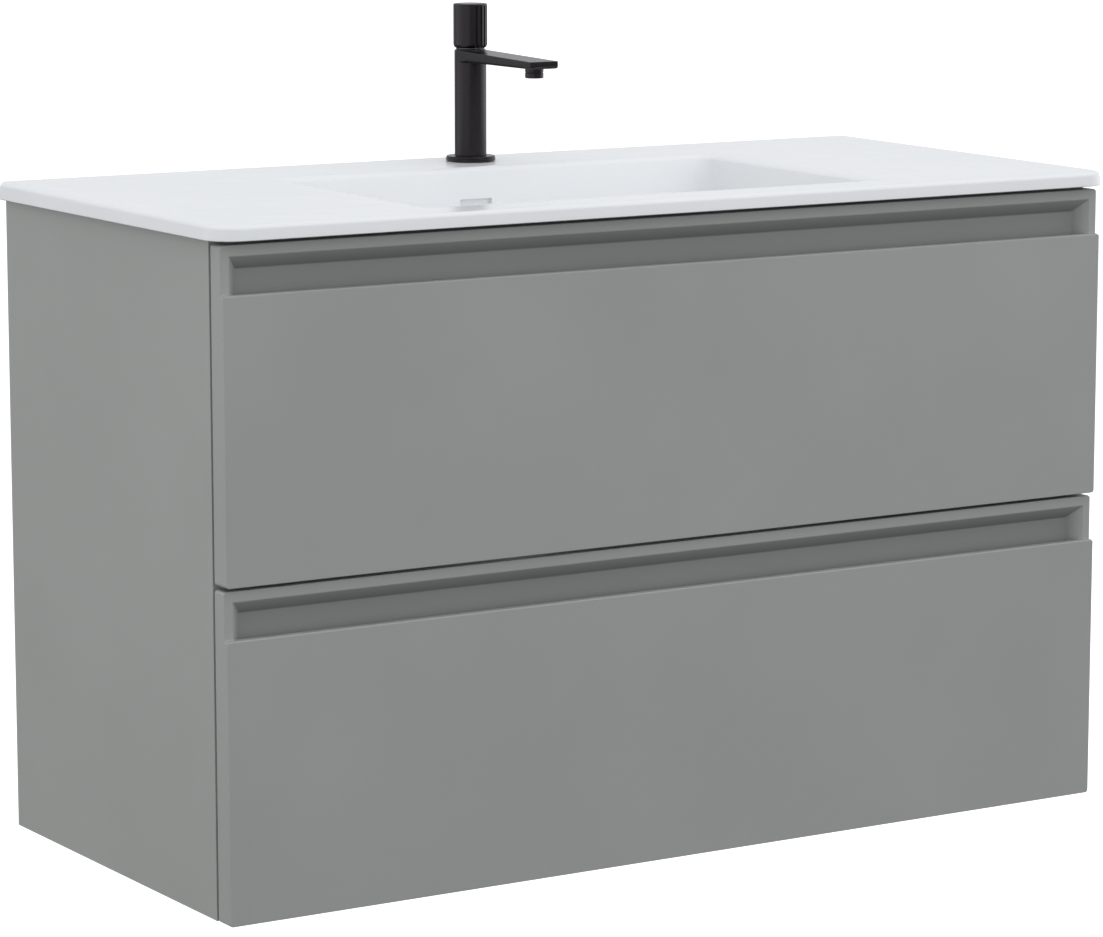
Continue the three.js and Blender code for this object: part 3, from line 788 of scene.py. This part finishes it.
def ribbedRing(name, profile, foot, ribs, reach, nodes=(), axis=(0, 0, 1)):
    # a spun nut whose wall beyond the reach stands out in ribs, for grip
    way = Vector(axis)
    columns = ribs * 4
    bm = bmesh.new()
    turnProfile(bm, [(r * mm, h * mm) for r, h in profile], foot, axis, columns)
    flat = Vector((0, 0, 1)) if way.y else Vector((0, 1, 0))
    for v in bm.verts:
        local = v.co - foot
        across = local - way * local.dot(way)
        column = round(math.atan2(across.dot(flat), across.x) / math.tau * columns)
        if across.length > reach * mm and column % 4 < 2:
            v.co += across.normalized() * ribSizes["height"] * mm
    keepPiece(name, bm, pipePlastic, "root", nodes, ribSizes["smooth"])


wasteSizes = {"barZ": 20, "barReach": 20, "barHalf": 5, "barHeight": 6, "eye": 4.4}


def wasteTube():
    # flanged tube with a bar across its foot that guides the plug's stem
    s = scaled(wasteSizes)
    base = footOf("drain_waste")
    tube = bmesh.new()
    turnProfile(tube, [(r * mm, h * mm) for r, h in (
        (19, 0), (21.5, 0), (22, 0.5), (22, 60.3), (31.5, 60.3), (32, 60.8), (31.6, 62.2), (30.6, 62.8),
        (28, 62.7), (20.5, 61.9), (19.4, 61.2), (19, 60.2), (19, 0))], base, steps=64)
    bar, eye = bmesh.new(), bmesh.new()
    middle = base + Vector((0, 0, s["barZ"]))
    half = Vector((s["barReach"], s["barHalf"], s["barHeight"] / 2))
    addBox(bar, middle - half, middle + half)
    bmesh.ops.create_cone(eye, cap_ends=True, segments=24, radius1=s["eye"], radius2=s["eye"],
                          depth=s["barZ"])
    bmesh.ops.translate(eye, vec=middle, verts=eye.verts[:])
    piece = newObject("wasteTube", tube)
    combine(piece, [("UNION", newObject("barTool", bar)), ("DIFFERENCE", newObject("eyeTool", eye))])
    finishPiece(piece, chrome, "root", ["drain_waste"], 35)


alongY = (0, 1, 0)
wasteTube()
spunPiece("drainPlugCap", [
    (0, 0), (4, 0), (4, 51.5), (12, 52.5), (14.5, 55), (16, 56.2), (28.6, 56.2), (30.4, 57), (31, 58.2),
    (30.6, 59.4), (29, 60.6), (24, 61.8), (14, 62.8), (0, 63.2)],
    "drain_plug", chrome, "drain_plug")
spunPiece("wasteGasket", [
    (22.3, 0), (33.4, 0), (34, 0.6), (34, 2.4), (33.4, 3), (22.3, 3), (22.3, 0)],
    "waste_gasket", rubber, "root")
ribbedRing("wasteBackNut", [
    (22.3, 0), (30, 0), (31.6, 1), (31.8, 7.6), (30, 8.7), (22.3, 8.7), (22.3, 0)],
    footOf("waste_nut"), 18, 31, ["waste_nut"])
spunPiece("trapTailpipe", [
    (14.5, 0), (15.6, 0), (16, 0.6), (16, 99.4), (15.6, 100), (14.5, 100), (14.5, 0)],
    "trap_tailpipe", pipePlastic, "root")
spunPiece("trapBottleBody", [
    (16.3, 75), (16.3, 70), (26, 66), (27, 64), (27, 0), (29.6, 0), (30, 0.5), (30, 5), (29.2, 6), (29.2, 9),
    (30, 10), (30, 62), (29.4, 66), (27.6, 69), (24.6, 71), (22, 72), (21, 75), (16.3, 75)],
    "trap_body", pipePlastic, "root")
ribbedRing("trapCup", [
    (0, 0), (12, 0), (14, 1), (16, 1), (18, 0), (24, 0), (27.6, 1.6), (29.6, 5), (30, 8), (30, 22.4),
    (29.2, 24.7), (27.5, 24.7), (27.5, 8), (24, 5), (0, 4)],
    footOf("trap_cup"), 20, 29.4, ["trap_cup"])
ribbedRing("trapOutletNut", [
    (16.3, 0), (20.4, 0), (20.9, 0.8), (20.9, 14.8), (20, 16), (16.3, 16), (16.3, 0)],
    footOf("trap_outlet_nut", alongY), 14, 20.6, ["trap_outlet_nut"], alongY)
spunPiece("trapOutletPipe", [
    (14.5, 0), (16, 0), (16, 214.2), (15.6, 214.7), (14.5, 214.7), (14.5, 0)],
    "trap_outlet_pipe", pipePlastic, "root", alongY)
spunPiece("wallRosette", [
    (16.3, 9), (16.3, 1.2), (17.2, 0), (20, 0.2), (27, 2), (32, 5), (33.7, 7.4), (34, 9), (16.3, 9)],
    "wall_rosette", pipePlastic, "root", alongY)
nutFoot = footOf("trap_tailpipe")
nutFoot.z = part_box("trap_body")[1].z
ribbedRing("trapTopNut", [
    (16.3, -3), (22, -3), (22.6, -2), (22.6, 9), (21.4, 10.4), (18, 11.4), (16.3, 11.4), (16.3, -3)],
    nutFoot, 14, 22)
print("waste and trap ready")


# Runners: nested steel channels, given as (distance from the drawer, height) in millimetres

runnerOutlines = {
    "cabinet": [
        (43.7, 28), (42.2, 28), (42.2, 1.5), (20.5, 1.5), (20.5, 14), (19, 14),
        (19, 1.5), (1.5, 1.5), (1.5, 14), (0, 14), (0, 0), (43.7, 0)],
    "middle": [
        (0, 0), (14.5, 0), (14.5, 22), (13, 22), (13, 1.5), (1.5, 1.5), (1.5, 22), (0, 22)],
    "drawer": [
        (0, 0), (1.5, 0), (1.5, 13.2), (17, 13.2), (17, 0), (18.5, 0), (18.5, 14.7), (0, 14.7)],
}
runnerBend = 0.5


def runner(word, side, member, body):
    node = f"{word}_runner_{side}_{member}"
    low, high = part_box(node)
    start, flip = (high.x, -1) if side == "left" else (low.x, 1)
    points = [(start + flip * x * mm, low.z + z * mm) for x, z in runnerOutlines[member]]
    bm = bmesh.new()
    outlineSolid(bm, points, "y", low.y, high.y)
    bends = [e for e in sharpEdges(bm) if abs(e.verts[0].co.y - e.verts[1].co.y) > (high.y - low.y) / 2]
    easeEdges(bm, bends, runnerBend * mm, 2)
    keepPiece(f"{word}Runner{side.title()}{member.title()}", bm, zinc, body, [node])


for word in ("upper", "lower"):
    for side in ("left", "right"):
        runner(word, side, "cabinet", "root")
        runner(word, side, "middle", f"{word}_middle_runners")
        runner(word, side, "drawer", f"{word}_drawer")
print("runners ready")


# Hanging hooks and the wall plates they drop over, outlines in millimetres from the node's low corner

hookOutline = [(0, 0), (38, 0), (38, 36.3), (43.3, 36.3), (43.3, 30), (45, 30), (45, 40), (0, 40)]
plateOutline = [
    (3.7, 0), (5.7, 0), (5.7, 29.5), (2, 29.5), (2, 38.5), (0, 38.5), (0, 27.5), (3.7, 27.5)]


def hanger(name, node, outline, ease):
    low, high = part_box(node)
    points = [(low.y + y * mm, low.z + z * mm) for y, z in outline]
    bm = bmesh.new()
    outlineSolid(bm, points, "x", low.x, high.x)
    easeEdges(bm, sharpEdges(bm), ease * mm, 2)
    keepPiece(name, bm, zinc, "root", [node])


# a round socket head: (share of its radius, height in millimetres)
screwProfile = [
    (0, 0.7), (0.42, 0.7), (0.42, 2.0), (0.6, 1.95), (0.85, 1.4), (0.97, 0.7), (1, -0.3), (0, -0.3)]
screwSizes = {"bracket": 4.0, "hook": 4.5, "wall": 3.2, "hookApart": 8, "hookHeight": 20}


def screwSet(name, places, axis, body, kind):
    # screws standing on a surface along the axis
    radius = screwSizes[kind]
    bm = bmesh.new()
    for place in places:
        turnProfile(bm, [(r * radius * mm, h * mm) for r, h in screwProfile], Vector(place), axis, 24)
    keepPiece(name, bm, zinc, body)


for side in ("left", "right"):
    hanger(f"{side}HangingHook", f"hanger_{side}", hookOutline, 0.4)
    hanger(f"{side}WallPlate", f"wall_plate_{side}", plateOutline, 0.3)
    low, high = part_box(f"hanger_{side}")
    middle, apart = (low.x + high.x) / 2, screwSizes["hookApart"] * mm
    height = low.z + screwSizes["hookHeight"] * mm
    screwSet(f"{side}HookScrews", [(middle - apart, low.y, height), (middle + apart, low.y, height)],
             (0, -1, 0), "root", "hook")
print("hangers ready")


# Small fittings: brackets behind the fronts, assembly screws, closing pads

fittingSizes = {
    "bracketHeight": 90, "bracketWidth": 24, "bracketFoot": 45, "sheet": 1.5, "bend": 0.4,
    "padRadius": 5, "padHeight": 1.8, "padInset": 40, "backInset": 8,
}
bracketScrewRows = (18, 72)
wallScrewRows = {"upper": (40, 120), "lower": (50, 110, 170)}
padProfile = [(0, 0), (1, 0), (1, 0.5), (0.85, 0.9), (0.5, 1), (0, 1)]  # shares of the radius and the height


def frontBracket(word, side):
    # folded steel angle that holds the drawer wall to the front
    s = scaled(fittingSizes)
    low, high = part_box(f"{word}_drawer_{side}_wall")
    faceX, flip = (high.x, 1) if side == "left" else (low.x, -1)
    foot, width, sheet = low.z + s["bracketFoot"], s["bracketWidth"], s["sheet"]
    bm = bmesh.new()
    outlineSolid(bm, [(faceX + flip * x, low.y + y) for x, y in (
        (0, 0), (width, 0), (width, sheet), (sheet, sheet), (sheet, width), (0, width))],
        "z", foot, foot + s["bracketHeight"])
    easeEdges(bm, sharpEdges(bm), s["bend"], 2)
    keepPiece(f"{word}Bracket{side.title()}", bm, zinc, f"{word}_drawer")
    screwSet(f"{word}BracketScrews{side.title()}",
             [(faceX + flip * sheet, low.y + 0.6 * width, foot + h * mm) for h in bracketScrewRows],
             (flip, 0, 0), f"{word}_drawer", "bracket")


def backScrews(word, side):
    # screws through the drawer wall into the end of the back board
    low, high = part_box(f"{word}_drawer_{side}_wall")
    faceX, out = (high.x, 1) if side == "right" else (low.x, -1)
    y = high.y - fittingSizes["backInset"] * mm
    screwSet(f"{word}WallScrews{side.title()}", [(faceX, y, low.z + h * mm) for h in wallScrewRows[word]],
             (out, 0, 0), f"{word}_drawer", "wall")


def closingPads(word):
    # soft round pads near the corners of the front's back face
    s = scaled(fittingSizes)
    low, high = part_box(f"{word}_drawer_front")
    panelLow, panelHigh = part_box("right_side_panel")
    x = (panelLow.x + panelHigh.x) / 2
    profile = [(r * s["padRadius"], h * s["padHeight"]) for r, h in padProfile]
    bm = bmesh.new()
    for across in (-x, x):
        for z in (low.z + s["padInset"], high.z - s["padInset"]):
            turnProfile(bm, profile, (across, high.y, z), alongY, 24)
    keepPiece(f"{word}ClosingPads", bm, rubber, f"{word}_drawer")


for word in ("upper", "lower"):
    for side in ("left", "right"):
        frontBracket(word, side)
        backScrews(word, side)
    closingPads(word)
print("fittings ready")


# CAD nodes whose own shape stays: the tap's cartridge neck, shank, lock nut and washer

nodeFinishes = {"zinc_steel": zinc, "black_rubber": rubber}
for part in frame["record"]["subparts"]:
    shown = frame["nodes"][part["node"]]
    if not shown.hide_render:
        shown.data.materials.clear()
        shown.data.materials.append(nodeFinishes[part["material_slot"]])
print("fixing parts finished")


# Stage, light and camera

stageSizes = {"drop": 0.42, "reach": 40.0}  # metres
stageLook = {
    "grain": 9, "tones": [(0.3, linear("#f4f4f4")), (0.7, linear("#f8f8f8"))], "glow": 0.55, "roughness": 0.9,
}
cameraSetup = {
    "azimuth": -31.9, "elevation": 9.27, "distance": 4.308, "lens": 140.0, "sensor": 36,
    "aim": (-0.0147, -0.0008, -0.0517),
}
lightSetup = [
    # name, azimuth, elevation, distance, width, height, watts
    ("leftSoftbox", -66, -2, 3.6, 4.4, 2.0, 14),
    ("frontSoftbox", 16, 36, 3.6, 4.0, 4.0, 27),
    ("leftStrip", -118, -2, 3.6, 3.6, 1.8, 15),
    ("rightStrip", 84, -3, 3.6, 4.4, 1.6, 19),
]
# brightness of the studio by height: straight down, just below level, just above, straight up
skySteps = [(0.0, 0.05), (0.42, 0.22), (0.54, 0.88), (1.0, 0.79)]
skyTint = "#fafcff"


def around(centre, azimuth, elevation, distance):
    a, e = math.radians(azimuth), math.radians(elevation)
    return centre + distance * Vector((math.sin(a) * math.cos(e), -math.cos(a) * math.cos(e), math.sin(e)))


def pointAt(obj, target):
    obj.rotation_euler = (target - obj.location).to_track_quat("-Z", "Y").to_euler()


def stageMaterial():
    # Opal acrylic light table: white, even, lit from inside so that no shadow shows; a trace of grain.
    material, tree, shader, place = startMaterial("opalAcrylicLightTable")
    grain = addNode(tree, "ShaderNodeTexNoise", {"Scale": perMetre(stageLook["grain"]), "Detail": 2.0},
                    {"Vector": place})
    tone = addNode(tree, "ShaderNodeValToRGB", links={"Fac": grain.outputs["Fac"]}, stops=stageLook["tones"])
    tree.links.new(tone.outputs["Color"], shader.inputs["Base Color"])
    tree.links.new(tone.outputs["Color"], shader.inputs["Emission Color"])
    shader.inputs["Emission Strength"].default_value = stageLook["glow"]
    shader.inputs["Roughness"].default_value = stageLook["roughness"]
    return material


def layTable(low):
    bm = bmesh.new()
    bmesh.ops.create_grid(bm, x_segments=1, y_segments=1, size=stageSizes["reach"])
    bmesh.ops.translate(bm, vec=(0, 0, low.z - stageSizes["drop"]), verts=bm.verts[:])
    table = newObject("lightTable", bm)
    table.data.materials.append(stageMaterial())
    table.visible_diffuse = table.visible_glossy = False  # white, without lighting the piece from below


def hangLights(centre):
    for name, azimuth, elevation, distance, width, height, watts in lightSetup:
        lamp = bpy.data.lights.new(name, "AREA")
        lamp.shape = "ELLIPSE"
        lamp.size, lamp.size_y = width, height
        lamp.energy = watts
        holder = bpy.data.objects.new(name, lamp)
        holder.location = around(centre, azimuth, elevation, distance)
        holder.visible_camera = False
        bpy.context.scene.collection.objects.link(holder)
        pointAt(holder, centre)


def fillWorld():
    world = bpy.data.worlds.new("studioWorld")
    world.use_nodes = True
    tree = world.node_tree
    way = addNode(tree, "ShaderNodeTexCoord").outputs["Generated"]
    up = addNode(tree, "ShaderNodeSeparateXYZ", links={"Vector": way}).outputs["Z"]
    height = addNode(tree, "ShaderNodeMapRange", {"From Min": -1.0}, {"Value": up}).outputs["Result"]
    tint = linear(skyTint)
    glow = addNode(tree, "ShaderNodeValToRGB", links={"Fac": height},
                   stops=[(position, tuple(level * part for part in tint)) for position, level in skySteps])
    seen = addNode(tree, "ShaderNodeLightPath").outputs["Is Camera Ray"]
    white = addNode(tree, "ShaderNodeMix", {"data_type": "RGBA", 7: linear("#ffffff")},
                    {"Factor": seen, 6: glow.outputs["Color"]})
    tree.links.new(white.outputs[2], tree.nodes["Background"].inputs["Color"])
    bpy.context.scene.world = world
    bpy.context.scene.view_settings.view_transform = "Standard"


def setCamera(centre):
    lens = bpy.data.cameras.new("studioCamera")
    lens.lens, lens.sensor_width = cameraSetup["lens"], cameraSetup["sensor"]
    camera = bpy.data.objects.new("studioCamera", lens)
    bpy.context.scene.collection.objects.link(camera)
    aim = centre + Vector(cameraSetup["aim"])
    camera.location = around(aim, cameraSetup["azimuth"], cameraSetup["elevation"], cameraSetup["distance"])
    pointAt(camera, aim)
    bpy.context.scene.camera = camera


cadLow, cadHigh = (Vector(corner) for corner in cadBounds)
cadCentre = (cadLow + cadHigh) / 2
layTable(cadLow)
hangLights(cadCentre)
fillWorld()
setCamera(cadCentre)
print("stage ready")
